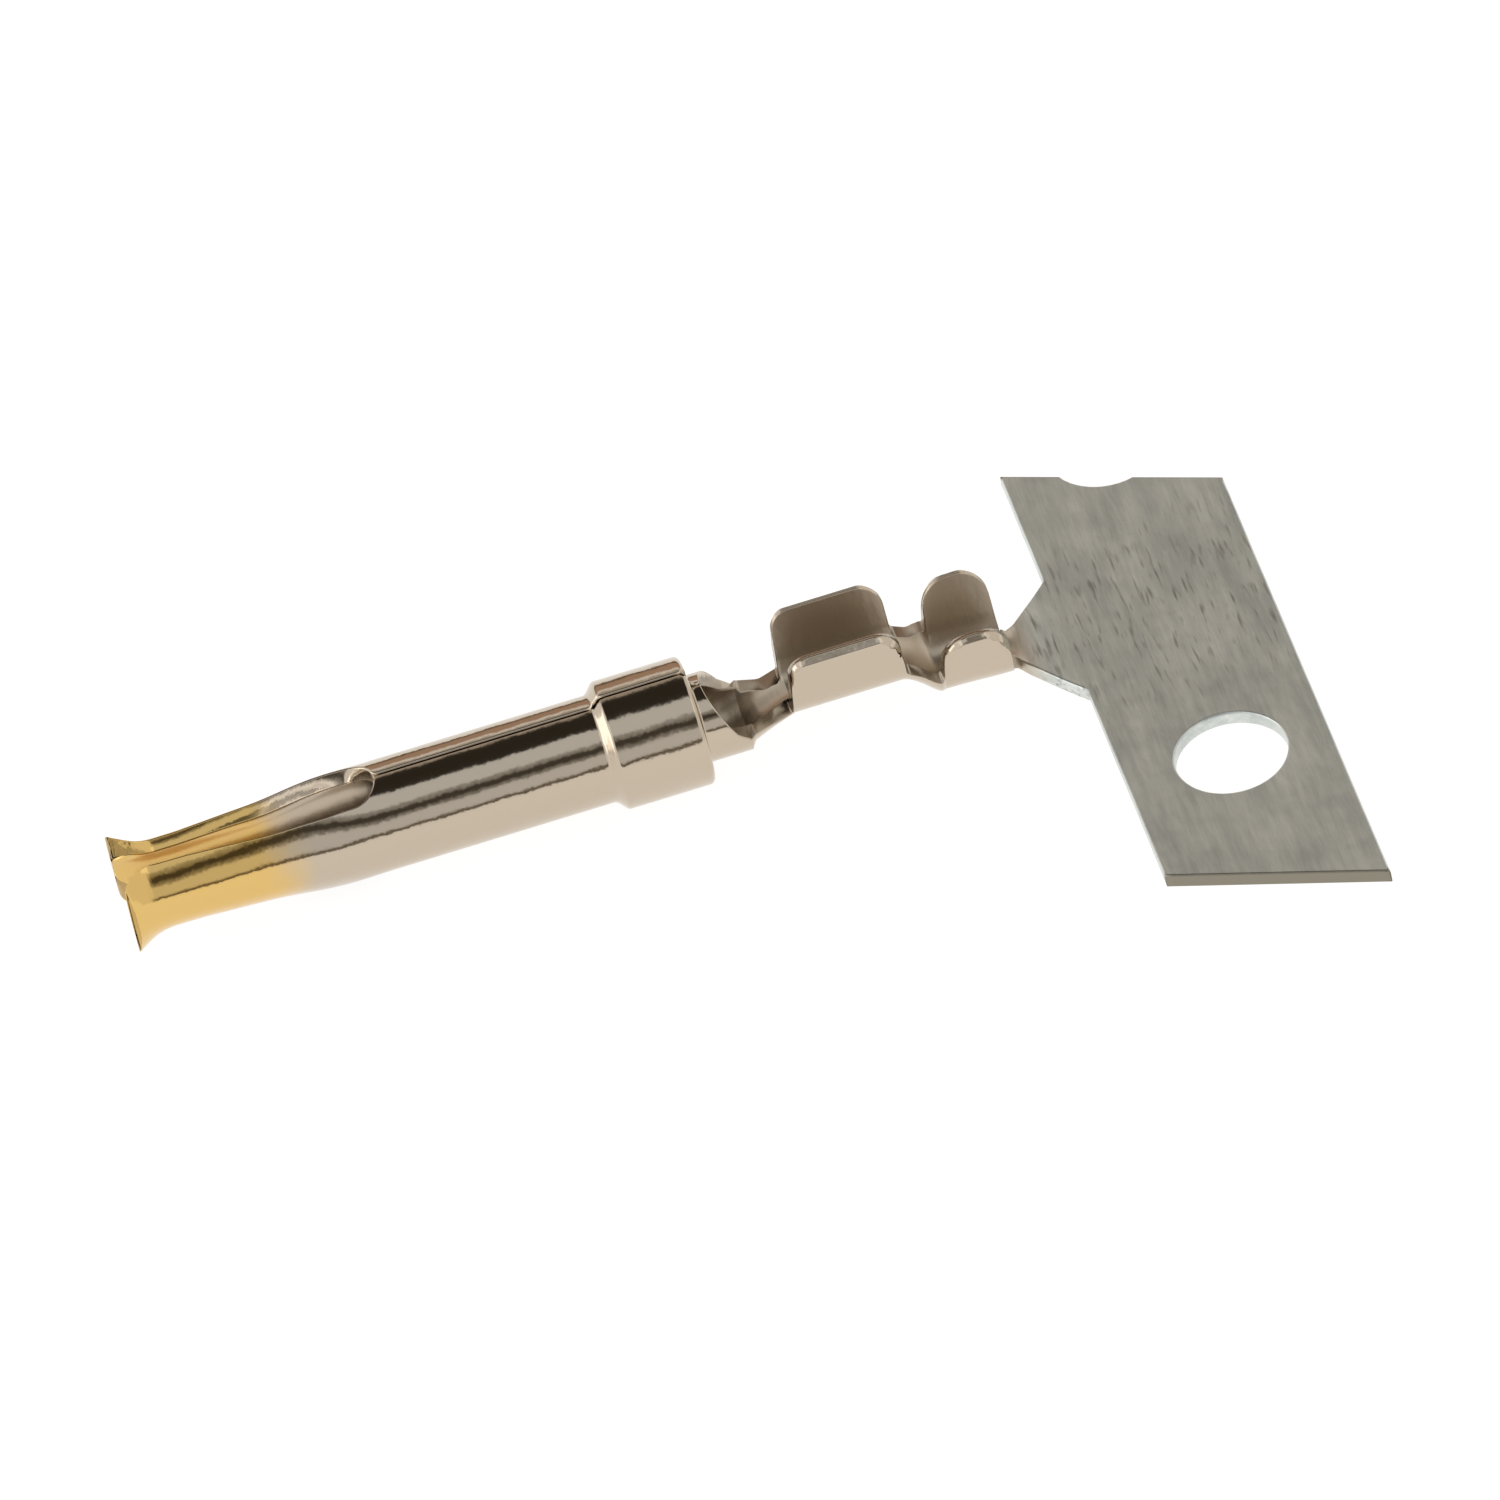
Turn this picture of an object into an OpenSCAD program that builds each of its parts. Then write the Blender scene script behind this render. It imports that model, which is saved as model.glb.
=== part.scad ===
// Crimp socket contact for a D-subminiature connector, still on its carrier strip.
// The whole part is one piece of formed sheet: a split socket tube with a raised
// collar, a wire barrel, an insulation barrel and the strip that feeds the tool.
// X runs from the mouth of the socket to the strip. Z is up, out of the open
// barrels. The origin is the centre of the mouth. Sizes are in millimetres.

/* [Stock] */
// Thickness of the sheet
stock_t = 0.27; // [0.24:0.01:0.3]

/* [Socket] */
// Outside diameter of the tube behind the fingers
tube_d = 1.84; // [1.76:0.02:1.94]
// Outside diameter of the fingers at the waist that grips the pin
waist_d = 1.46; // [1.4:0.02:1.56]
// Outside diameter of the flared mouth
mouth_d = 1.9; // [1.8:0.01:2]
// Length of the flare at the mouth
flare_len = 0.75; // [0.6:0.05:0.9]
// Length of the straight waist behind the flare
grip_len = 0.4; // [0.3:0.05:0.6]
// Distance from the mouth to the full tube diameter
finger_len = 4; // [3.6:0.1:4.4]
// Width of the two slots at their closed ends
slot_w = 0.94; // [0.7:0.02:1]
// Width of the two slots where the fingers come together
slot_tip_w = 0.52; // [0.4:0.02:0.6]
// Width of the two slots at the mouth itself
slot_mouth_w = 1.24; // [1:0.02:1.3]
// Gap left between the rolled edges along the top of the tube
seam_w = 0.04; // [0.03:0.01:0.06]

/* [Collar and neck] */
// Outside diameter of the collar
collar_d = 2.2; // [2.1:0.02:2.3]
// Distance from the mouth to the full height of the collar
collar_x = 8.4; // [8:0.05:8.6]
// Length of the collar at full height
collar_len = 1.5; // [1.3:0.05:1.6]
// Length of the sloping front shoulder of the collar
shoulder_len = 0.16; // [0.14:0.01:0.3]
// Radius on the outside corners of the collar
collar_corner = 0.1; // [0.06:0.01:0.14]
// Outside diameter of the neck behind the collar
neck_d = 1.5; // [1.44:0.02:1.56]
// Length of the closed underside of the neck
neck_len = 0.75; // [0.7:0.01:0.8]
// Distance behind the collar where the slanted opening starts at the top
opening_x = 0.3; // [0.2:0.01:0.35]

/* [Wire barrel] */
// Distance from the mouth to the front edge of the wire barrel
wire_x = 11.47; // [11.4:0.01:11.6]
// Length of the wire barrel
wire_len = 1.92; // [1.7:0.01:2.1]
// Outside radius of the floor of the wire barrel
wire_r = 0.7; // [0.66:0.01:0.74]
// Height of the underside of the wire barrel above the tube axis
wire_floor = -0.25; // [-0.3:0.01:-0.2]
// Height of the wing tips above the tube axis
wire_top = 1.22; // [1.1:0.005:1.3]
// Outward lean of the wings in degrees
wire_lean = 8; // [4:1:20]
// Radius on the corners of the wings
wire_corner = 0.36; // [0.2:0.02:0.4]

/* [Link] */
// Outside radius of the floor where the link spreads into the insulation barrel
link_mouth_r = 0.86; // [0.8:0.01:0.9]
// Height of the link's edges behind the wire barrel
link_high = 0.17; // [0.1:0.01:0.25]
// Height that the link's edges fall to in front of the insulation barrel
link_dip = -0.14; // [-0.2:0.01:-0.08]

/* [Insulation barrel] */
// Distance from the mouth to the front edge of the insulation barrel
insul_x = 14; // [13.9:0.01:14.05]
// Length of the insulation barrel
insul_len = 1.16; // [1.12:0.01:1.2]
// Outside radius of the floor of the insulation barrel
insul_r = 0.75; // [0.7:0.01:0.8]
// Height of the underside of the insulation barrel above the tube axis
insul_floor = -0.72; // [-0.76:0.01:-0.68]
// Height of the wing tips above the tube axis
insul_top = 0.76; // [0.7:0.01:0.9]
// Outward lean of the wings in degrees
insul_lean = 14; // [8:1:24]
// Radius on the corners of the wings
insul_corner = 0.52; // [0.3:0.02:0.52]

/* [Wing tips] */
// Thickness that the wings taper to, below the bevel
wing_t = 0.235; // [0.21:0.005:0.24]
// Height of the coined bevel on the outside of each wing tip
bevel_h = 0.1; // [0.06:0.01:0.14]
// Thickness left at the rim above the bevel
rim_t = 0.13; // [0.1:0.01:0.2]

/* [Carrier strip] */
// Distance from the mouth to the near edge of the strip
strip_x = 16.17; // [16:0.01:16.4]
// Width of the strip
strip_w = 3.45; // [3.2:0.05:3.7]
// Feed pitch between contacts and between pilot holes
strip_pitch = 8; // [7.6:0.1:8.4]
// Diameter of the pilot holes
pilot_d = 1.88; // [1.6:0.02:2]
// Distance from the strip edge nearest the contact to the hole centre
pilot_x = 1.79; // [1.6:0.01:1.9]
// Width of the strip's tongue where it joins the insulation barrel
tongue_w = 0.68; // [0.6:0.02:0.8]
// Width of the tongue where it meets the strip
gusset_w = 2.86; // [2.4:0.02:3]
// Height of the top face of the strip above the tube axis
strip_top = -0.615; // [-0.64:0.005:-0.59]
// Distance along the strip from the contact's axis to the pilot hole beside it
pilot_y = 3.86; // [3.7:0.02:4.2]
// Distance along the strip from the contact's axis to the corner of its near end
near_len = 6.2; // [5.9:0.1:6.5]
// Distance along the strip from the contact's axis to the corner of its far end
far_len = 4.2; // [4:0.1:4.8]
// Angle of the sheared near end to the width of the strip, in degrees
near_shear = 22.7; // [0:0.1:30]
// Angle of the sheared far end to the width of the strip, in degrees
far_shear = 25.1; // [0:0.1:30]

/* [Hidden] */
$fn = 96;

SHEET_COLOR = [0.78, 0.74, 0.68];
EPS = 0.01;          // overlap that lets joined solids share volume
TUCK = 0.015;        // depth that an inner part is held inside its neighbour
BIG = 5;             // length that passes clear of the whole contact
ARC_STEPS = 6;       // facets on one half of a channel's floor
CORNER_STEPS = 5;    // facets on one rounded corner
RAMP_STEPS = 8;      // facets along a smooth change of diameter
TONGUE_STEPS = 5;    // facets along each half of the tongue
HALF_TURN = 180;
QUARTER_TURN = 90;
FLAT_BEND = 0.03;    // bend left in the tongue where it counts as flat
NO_TOP = BIG * BIG;  // height limit that no surface of the tongue reaches

tube_r = tube_d / 2;
waist_r = waist_d / 2;
mouth_r = mouth_d / 2;
collar_r = collar_d / 2;
neck_r = neck_d / 2;
tube_inner_r = tube_r - stock_t;
waist_end = flare_len + grip_len;
knee_x = finger_len * 0.55;          // where the fingers start to swell to the tube
knee_r = waist_r + (tube_r - waist_r) * 0.19;
collar_end = collar_x + collar_len;
neck_end = collar_end + neck_len;
wire_end = wire_x + wire_len;
insul_end = insul_x + insul_len;
strip_bottom = strip_top - stock_t;
strip_end = strip_x + strip_w;
hole_x = strip_x + pilot_x;
hole_y = -pilot_y;

// Smooth step from 0 to 1 as x goes from a to b.
function ease(x, a, b) = let (u = min(1, max(0, (x - a) / (b - a)))) u * u * (3 - 2 * u);

// Unit vector from p to q.
function toward(p, q) = (q - p) / norm(q - p);

// Points that round the corner at p, between its neighbours a and b, to radius r.
function corner(a, p, b, r, steps = CORNER_STEPS) =
    let (
        u = toward(p, a),
        v = toward(p, b),
        half = acos(u * v) / 2,
        run = r / tan(half),
        centre = p + toward([0, 0], u + v) * r / sin(half),
        start = p + u * run - centre,
        turn = HALF_TURN - 2 * half,
        way = u[0] * v[1] - u[1] * v[0] < 0 ? 1 : -1
    )
    [for (i = [0:steps]) let (t = way * turn * i / steps)
        centre + [start[0] * cos(t) - start[1] * sin(t), start[0] * sin(t) + start[1] * cos(t)]];

// Open line of [x, z, radius] points with every inner corner rounded.
function rounded_line(p) = [
    for (i = [0:len(p) - 1])
        let (q = [p[i][0], p[i][1]])
        each (i == 0 || i == len(p) - 1 || p[i][2] == 0) ? [q] :
            corner([p[i - 1][0], p[i - 1][1]], q, [p[i + 1][0], p[i + 1][1]], p[i][2])
];

// Outside of the rolled socket as [distance from the mouth, radius].
function flare(x) = waist_r + (mouth_r - waist_r) * pow(1 - x / flare_len, 2);

socket_line = concat(
    [for (i = [0:RAMP_STEPS]) let (x = flare_len * i / RAMP_STEPS) [x, flare(x)]],
    [[waist_end, waist_r]],
    [for (i = [0:RAMP_STEPS])
        let (x = knee_x + (finger_len - knee_x) * i / RAMP_STEPS)
        [x, knee_r + (tube_r - knee_r) * ease(x, knee_x, finger_len)]],
    rounded_line([
        [collar_x - shoulder_len - collar_corner * 2, tube_r, 0],
        [collar_x - shoulder_len, tube_r, collar_corner],
        [collar_x, collar_r, collar_corner],
        [collar_end, collar_r, collar_corner],
        [collar_end, neck_r, 0]
    ]),
    [[neck_end, neck_r]]
);

// Direction across the sheet at point i of a line, pointing to the inside.
function inward(p, i) =
    let (
        a = i > 0 ? toward(p[i - 1], p[i]) : toward(p[i], p[i + 1]),
        b = i < len(p) - 1 ? toward(p[i], p[i + 1]) : a,
        m = toward([0, 0], a + b),
        grow = 1 / (m * a)
    )
    [m[1], -m[0]] * min(grow, 1.5);

// Inside of the fingers: the outside moved in by one thickness, ending flush at the mouth.
finger_points = RAMP_STEPS * 2 + 3;
finger_offset = [for (i = [0:finger_points - 1]) socket_line[i] + inward(socket_line, i) * stock_t];
finger_inner = concat([[0, lookup(0, finger_offset)]], [for (p = finger_offset) if (p[0] > EPS) p]);

// Inside of the tube, the collar and the neck.
body_inner = rounded_line([
    [collar_x - shoulder_len - collar_corner * 2, tube_inner_r, 0],
    [collar_x - shoulder_len + stock_t / 3, tube_inner_r, collar_corner],
    [collar_x + stock_t / 3, collar_r - stock_t, collar_corner],
    [collar_end - stock_t, collar_r - stock_t, collar_corner],
    [collar_end - stock_t, neck_r - stock_t, 0],
    [neck_end, neck_r - stock_t, 0]
]);

function reversed(p) = [for (i = [len(p) - 1:-1:0]) p[i]];

// Rolled socket before its slots and seam are cut.
module rolled_socket() {
    profile = concat(socket_line, reversed(concat(finger_inner, body_inner)));
    rotate([0, 90, 0])
        rotate_extrude()
            polygon([for (p = profile) [p[1], p[0]]]);
}

// Plan of the slot between the fingers, with its full-round closed end.
module slot_plan() {
    root = slot_w / 2;
    tip = slot_tip_w / 2;
    edge = concat(
        [[-EPS, slot_mouth_w / 2], [flare_len * 0.6, tip], [waist_end, tip + EPS]],
        [[finger_len * 0.88, root]],
        [for (i = [0:ARC_STEPS]) let (a = QUARTER_TURN * (1 - i / ARC_STEPS))
            [finger_len + root * cos(a), root * sin(a)]]
    );
    other = [for (i = [len(edge) - 2:-1:0]) [edge[i][0], -edge[i][1]]];
    polygon(concat(edge, other));
}

// The neck is open at the top behind this slanted side view.
module neck_opening() {
    top = [collar_end + opening_x, neck_r];
    foot = [neck_end - EPS * 4, -EPS * 3];
    lean = (foot[0] - top[0]) / (top[1] - foot[1]);
    rotate([90, 0, 0])
        linear_extrude(BIG, center = true)
            polygon([
                foot,
                [foot[0] + BIG, foot[1]],
                [foot[0] + BIG, collar_r],
                [top[0] - lean * (collar_r - neck_r), collar_r]
            ]);
}

module socket() {
    difference() {
        rolled_socket();
        translate([0, 0, -BIG / 2])
            linear_extrude(BIG)
                slot_plan();
        translate([finger_len, -seam_w / 2, 0])
            cube([BIG * 2, seam_w, BIG]);
        neck_opening();
    }
}

// Shape of the formed channel at distance x from the mouth.
neck_tuck_x = neck_end - 0.03;       // up to here the channel lies inside the neck's wall
heel_x = neck_end + 0.06;            // the floor turns up sharply behind the neck
throat_x = (heel_x + wire_x) / 2;    // the narrowest part of the channel
heel_floor = -neck_r + 0.17;
throat_r = neck_r - 0.07;
drop_x = wire_end - 0.09;            // from here the floor runs down to the insulation barrel
link_x = wire_end + 0.24;            // from here the link spreads
spread_x = insul_x - 0.1;            // widest part of the link

function floor_z(x) =
    x <= neck_tuck_x ? -neck_r + TUCK :
    x <= heel_x ? heel_floor :
    x <= wire_x ? heel_floor + (wire_floor - heel_floor) * (x - heel_x) / (wire_x - heel_x) :
    x <= insul_x ? wire_floor + (insul_floor - wire_floor) * ease(x, drop_x, insul_x) :
    insul_floor + (tongue_floor - insul_floor) * ease(x, insul_x, insul_end);

function floor_r(x) =
    x <= neck_tuck_x ? neck_r - TUCK :
    x <= throat_x ? neck_r + (throat_r - neck_r) * ease(x, neck_end, throat_x) :
    x <= wire_x ? throat_r + (wire_r - throat_r) * ease(x, throat_x, wire_x) :
    x <= spread_x ? wire_r + (link_mouth_r - wire_r) * ease(x, link_x, spread_x) :
    link_mouth_r + (insul_r - link_mouth_r) * ease(x, spread_x, insul_x);

function wall_lean(x) = x < throat_x ? 0 :
    x <= wire_x ? wire_lean * ease(x, throat_x, wire_x) :
    wire_lean + (insul_lean - wire_lean) * ease(x, wire_end, insul_x);

function sheet_t(x) = x <= neck_tuck_x ? stock_t - 2 * TUCK : stock_t;

// Height of the wing tip that the bevel at x belongs to.
function tip_z(x) = x < link_x ? wire_top : insul_top;

// Upper edge of the channel in side view, from the neck to the insulation barrel.
throat_low = -0.05;                  // height of the edge where the neck opens
throat_high = 0.05;                  // height of the edge against the wire barrel
tongue_floor = insul_floor - 0.05;
tongue_rim = -0.64;                  // height of the tongue's edges at the barrel

edge_line = concat(
    [[neck_end - 0.2, throat_low - 0.04], [neck_tuck_x, throat_low - 0.04], [heel_x, throat_low]],
    rounded_line([
        [heel_x + EPS, throat_low, 0],
        [throat_x, -0.06, 0.3],
        [wire_x - 0.05, throat_high, 0.06],
        [wire_x + 0.03, wire_top, wire_corner],
        [wire_end - EPS, wire_top, wire_corner],
        [wire_end + EPS, link_high, 0.16],
        [link_x + 0.08, link_high - 0.19, 0],
        [insul_x - 0.035, link_dip, 0.09],
        [insul_x + 0.06, insul_top, insul_corner],
        [insul_end - 0.02, insul_top, insul_corner],
        [insul_end, tongue_rim, 0]
    ])
);

// Half of the tongue's width at x, widening along the gusset to the strip.
gusset_x = insul_end + 0.09;
function tongue_half(x) = tongue_w / 2 +
    (gusset_w - tongue_w) / 2 * max(0, x - gusset_x) / (strip_x - gusset_x);

// One half of a channel surface of radius r, from the floor's middle to the rim.
// foot and top are heights, and the surface stops at height top or width half_w.
// thin is what the wall has lost of its thickness by the time it reaches the foot.
function half_surface(x, r, centre, lean, foot, top, half_w, thin) =
    let (
        by_top = top < centre ? acos(min(1, (centre - top) / r)) : QUARTER_TURN,
        by_width = half_w < r ? asin(half_w / r) : QUARTER_TURN,
        end = min(QUARTER_TURN - lean, by_top, by_width),
        touch = centre - r * sin(lean),
        walled = end > QUARTER_TURN - lean - EPS,
        mid = foot > touch && foot < top ? foot : (touch + top) / 2,
        share = walled ? 1 : 0.9
    )
    concat(
        [for (i = [0:ARC_STEPS]) let (a = end * share * i / ARC_STEPS)
            [x, r * sin(a), centre - r * cos(a)]],
        walled ?
            [for (z = [mid, top])
                let (loss = thin * min(1, max(0, (z - centre) / (foot - centre))))
                [x, (r - loss) / cos(lean) + (z - centre) * tan(lean), z]] :
            [for (a = [end * 0.95, end]) [x, r * sin(a), centre - r * cos(a)]]
    );

// Both surfaces of the sheet across the channel, each from one rim to the other.
function across(half) = concat(
    [for (i = [len(half) - 1:-1:1]) [half[i][0], -half[i][1], half[i][2]]], half);

function channel_section(x, z_floor, r, t, lean, top, half_w) =
    let (
        centre = z_floor + r,
        foot = tip_z(x) - bevel_h,
        outer = half_surface(x, r, centre, lean, foot, top, half_w, t - wing_t),
        inner = half_surface(x, r - t, centre, lean, foot, top, half_w, 0),
        last = len(outer) - 1,
        left = wing_t - (wing_t - rim_t) * min(1, max(0, (top - foot) / bevel_h)),
        rim = [x, inner[last][1] + left / cos(lean), outer[last][2]],
        bevelled = [for (i = [0:last]) i == last && top > foot && half_w >= BIG ? rim : outer[i]]
    )
    [across(bevelled), across(inner)];

// Sections from the neck through both barrels.
channel_sections = [
    for (p = edge_line)
        channel_section(p[0], floor_z(p[0]), floor_r(p[0]), sheet_t(p[0]),
            wall_lean(p[0]), p[1], BIG)
];

// Sections of the tongue, which flattens and drops from the barrel to the strip.
// The last ones lie inside the strip, so that the two solids share volume.
flat_x = insul_end + 0.3;
tongue_x = concat(
    [for (i = [1:TONGUE_STEPS]) insul_end + (flat_x - insul_end) * i / TONGUE_STEPS],
    [for (i = [1:TONGUE_STEPS]) flat_x + (strip_x - EPS * 3 - flat_x) * i / TONGUE_STEPS],
    [strip_x + EPS * 6]
);
tongue_sections = [
    for (x = tongue_x)
        let (
            bend = max(FLAT_BEND, 1 - ease(x, insul_end, flat_x)),
            drop = ease(x, insul_end, strip_x - EPS * 3),
            z = tongue_floor + (strip_bottom + TUCK - tongue_floor) * drop
        )
        channel_section(x, z, insul_r / pow(bend, 1.5), stock_t - 2 * TUCK * drop, 0, NO_TOP,
            min(tongue_half(x), gusset_w / 2 - TUCK))
];

// Solid between a row of sections.
module loft(sections) {
    n = len(sections[0][0]);
    rows = len(sections);
    points = [for (s = sections) each concat(s[0], s[1])];
    // index of point i on the outer (side 0) or inner (side 1) surface of row k
    function at(k, side, i) = k * 2 * n + side * n + i;
    skin = [for (k = [0:rows - 2]) each [for (i = [0:n - 2]) each [
        [at(k, 0, i), at(k + 1, 0, i), at(k, 0, i + 1)],
        [at(k, 0, i + 1), at(k + 1, 0, i), at(k + 1, 0, i + 1)],
        [at(k, 1, i), at(k, 1, i + 1), at(k + 1, 1, i)],
        [at(k, 1, i + 1), at(k + 1, 1, i + 1), at(k + 1, 1, i)]
    ]]];
    rims = [for (k = [0:rows - 2]) each [
        [at(k, 0, 0), at(k, 1, 0), at(k + 1, 0, 0)],
        [at(k, 1, 0), at(k + 1, 1, 0), at(k + 1, 0, 0)],
        [at(k, 0, n - 1), at(k + 1, 0, n - 1), at(k, 1, n - 1)],
        [at(k, 1, n - 1), at(k + 1, 0, n - 1), at(k + 1, 1, n - 1)]
    ]];
    ends = [for (i = [0:n - 2]) each [
        [at(0, 0, i), at(0, 0, i + 1), at(0, 1, i)],
        [at(0, 0, i + 1), at(0, 1, i + 1), at(0, 1, i)],
        [at(rows - 1, 0, i), at(rows - 1, 1, i), at(rows - 1, 0, i + 1)],
        [at(rows - 1, 0, i + 1), at(rows - 1, 1, i), at(rows - 1, 1, i + 1)]
    ]];
    polyhedron(points, concat(skin, rims, ends));
}

module channel() {
    loft(concat(channel_sections, tongue_sections));
}

// Strip, sheared across both ends and pierced at each pitch.
module strip() {
    plan = [
        [strip_x, -near_len],
        [strip_end, -near_len - strip_w * tan(near_shear)],
        [strip_end, far_len - strip_w * tan(far_shear)],
        [strip_x, far_len]
    ];
    difference() {
        translate([0, 0, strip_bottom])
            linear_extrude(stock_t)
                polygon(plan);
        for (k = [0, 1])
            translate([hole_x, hole_y + k * strip_pitch, strip_bottom - EPS])
                cylinder(h = stock_t + 2 * EPS, d = pilot_d);
    }
}

module contact() {
    color(SHEET_COLOR)
        union() {
            socket();
            channel();
            strip();
        }
}

contact();
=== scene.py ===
import math

import bpy
import numpy as np
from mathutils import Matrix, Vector
from mathutils.geometry import delaunay_2d_cdt


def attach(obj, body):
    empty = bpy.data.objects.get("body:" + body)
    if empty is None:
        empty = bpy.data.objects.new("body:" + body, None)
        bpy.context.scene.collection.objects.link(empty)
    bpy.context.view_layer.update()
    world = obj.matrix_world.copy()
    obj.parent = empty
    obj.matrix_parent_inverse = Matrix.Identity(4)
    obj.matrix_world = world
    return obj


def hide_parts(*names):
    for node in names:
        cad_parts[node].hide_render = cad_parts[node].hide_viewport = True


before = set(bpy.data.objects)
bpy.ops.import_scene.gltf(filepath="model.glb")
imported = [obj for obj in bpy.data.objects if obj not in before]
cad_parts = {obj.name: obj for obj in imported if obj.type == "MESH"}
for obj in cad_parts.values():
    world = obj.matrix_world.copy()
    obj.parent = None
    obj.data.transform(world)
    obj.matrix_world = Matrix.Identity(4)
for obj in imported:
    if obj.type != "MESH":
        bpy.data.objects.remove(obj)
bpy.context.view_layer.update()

# Camera and studio
#
# The contact lies on a white table. The camera looks down on it from the left through a long lens.
# A large soft box stands on the camera's side, and the room behind is warm and dim.
MM = 0.001                    # a millimetre in the scene's metres
IMAGE_PX = 1500
SENSOR_MM = 36.0
PX_PER_MM = 60.8405           # scale of the picture at the mouth of the contact
CAMERA_DISTANCE_MM = 320.0
CAMERA_PLACE_MM = (-12.3538, -234.5970, 217.5402)
CAMERA_TURN_DEG = (46.40016, 9.62870, -14.64800)
TABLE_Z_MM = -1.10            # the collar's underside rests on the table
TABLE_SIZE = 3.0


def linear(hex_colour):
    """Linear colour from an sRGB hex string."""
    parts = [int(hex_colour[i:i + 2], 16) / 255 for i in (1, 3, 5)]
    return tuple(c / 12.92 if c <= 0.04045 else ((c + 0.055) / 1.055) ** 2.4 for c in parts) + (1.0,)


def add_node(tree, kind, inputs=None, **settings):
    """A node of that kind. Each of the inputs takes a value or the socket that feeds it, and the settings
    name a property of the node or an input."""
    node = tree.nodes.new(kind)
    for name, value in settings.items():
        if hasattr(node, name):
            setattr(node, name, value)
        else:
            node.inputs[name.replace("_", " ")].default_value = value
    for name, value in (inputs or {}).items():
        if isinstance(value, bpy.types.NodeSocket):
            tree.links.new(value, node.inputs[name])
        else:
            node.inputs[name].default_value = value
    return node


def new_material(name):
    """A material with an empty node tree, and the tree."""
    material = bpy.data.materials.new(name)
    material.use_nodes = True
    material.node_tree.nodes.clear()
    return material, material.node_tree


camera_data = bpy.data.cameras.new("camera")
camera_data.sensor_width = SENSOR_MM
camera_data.lens = PX_PER_MM * CAMERA_DISTANCE_MM / IMAGE_PX * SENSOR_MM
camera_data.clip_start = 0.01
camera_data.clip_end = 20.0
camera = bpy.data.objects.new("camera", camera_data)
camera.location = [c * MM for c in CAMERA_PLACE_MM]
camera.rotation_euler = [math.radians(a) for a in CAMERA_TURN_DEG]
bpy.context.collection.objects.link(camera)
bpy.context.scene.camera = camera
bpy.context.scene.view_settings.view_transform = "Standard"

# White table. Its own colour makes the background, and it keeps the contact's shadow.
TABLE_GLOW = 0.90             # share of the white that is there in the shadow too
table_material, tree = new_material("white_table_laminate")
rays = add_node(tree, "ShaderNodeLightPath")
seen = add_node(tree, "ShaderNodeMath", {0: rays.outputs["Is Camera Ray"], 1: rays.outputs["Is Glossy Ray"]},
                operation="MAXIMUM")
seen = add_node(tree, "ShaderNodeMath", {0: seen.outputs[0], 1: rays.outputs["Is Transmission Ray"]},
                operation="MAXIMUM")
level = add_node(tree, "ShaderNodeMath", {0: seen.outputs[0], 1: TABLE_GLOW}, operation="MULTIPLY")
glow = add_node(tree, "ShaderNodeEmission", {"Strength": level.outputs[0]}, Color=linear("#FFFFFF"))
face = add_node(tree, "ShaderNodeBsdfDiffuse", Color=linear("#8E8C88"))
both = add_node(tree, "ShaderNodeAddShader", {0: glow.outputs[0], 1: face.outputs[0]})
add_node(tree, "ShaderNodeOutputMaterial", {"Surface": both.outputs[0]})

half = TABLE_SIZE / 2
corners = [(x, y, TABLE_Z_MM * MM) for x, y in ((-half, -half), (half, -half), (half, half), (-half, half))]
table_mesh = bpy.data.meshes.new("table")
table_mesh.from_pydata(corners, [], [(0, 1, 2, 3)])
table = bpy.data.objects.new("table", table_mesh)
table_mesh.materials.append(table_material)
bpy.context.collection.objects.link(table)

# The room is made of long bands of light and dark that run beside the contact, as strip boxes do in a
# photographer's tent. A band is named by the angle where it starts, from straight up (0) towards the
# camera (+) or away from it (-), and blends into the next over SOFT_DEG.
SOFT_DEG = 2.0
BANDS = (
    (-90, "#75624F"),         # dark gap behind the table
    (-83, "#BC9F8B"),         # brown back wall
    (-65, "#FFFFFF"),         # thin lamp over the wall
    (-59, "#B8B0A6"),         # ceiling, lit by that lamp
    (-36, "#36322C"),         # dark ceiling
    (5, "#B4B8BC"),           # upper strip box, which the soft box's own light adds to
    (37, "#A09E9A"),          # its soft lower end
    (43, "#4A453C"),          # the camera, between the boxes
    (54, "#8F8D89"),          # edge of the lower strip box
    (60, "#E0E2E4"),          # lower strip box
    (83, "#6E6454"),          # dark gap in front of the table
)
world = bpy.data.worlds.new("room")
bpy.context.scene.world = world
world.use_nodes = True
tree = world.node_tree
tree.nodes.clear()
coordinates = add_node(tree, "ShaderNodeTexCoord")
way = add_node(tree, "ShaderNodeSeparateXYZ", {0: coordinates.outputs["Generated"]})
toward_camera = add_node(tree, "ShaderNodeMath", {0: way.outputs["Y"], 1: -1}, operation="MULTIPLY")
angle = add_node(tree, "ShaderNodeMath", {0: toward_camera.outputs[0], 1: way.outputs["Z"]},
                 operation="ARCTAN2")
# The colour ramp goes from 0 at -90 degrees to 1 at 90 degrees.
place = add_node(tree, "ShaderNodeMath", {0: angle.outputs[0], 1: 1 / math.pi, 2: 0.5},
                 operation="MULTIPLY_ADD")
ramp = add_node(tree, "ShaderNodeValToRGB", {0: place.outputs[0]})
stops = []
for i, (start, colour) in enumerate(BANDS):
    end = BANDS[i + 1][0] if i + 1 < len(BANDS) else 90
    stops += [(start + SOFT_DEG, colour), (end - SOFT_DEG, colour)]
while len(ramp.color_ramp.elements) < len(stops):
    ramp.color_ramp.elements.new(1.0)
for element, (degrees, colour) in zip(ramp.color_ramp.elements, stops):
    element.position = degrees / 180 + 0.5
    element.color = linear(colour)
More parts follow.
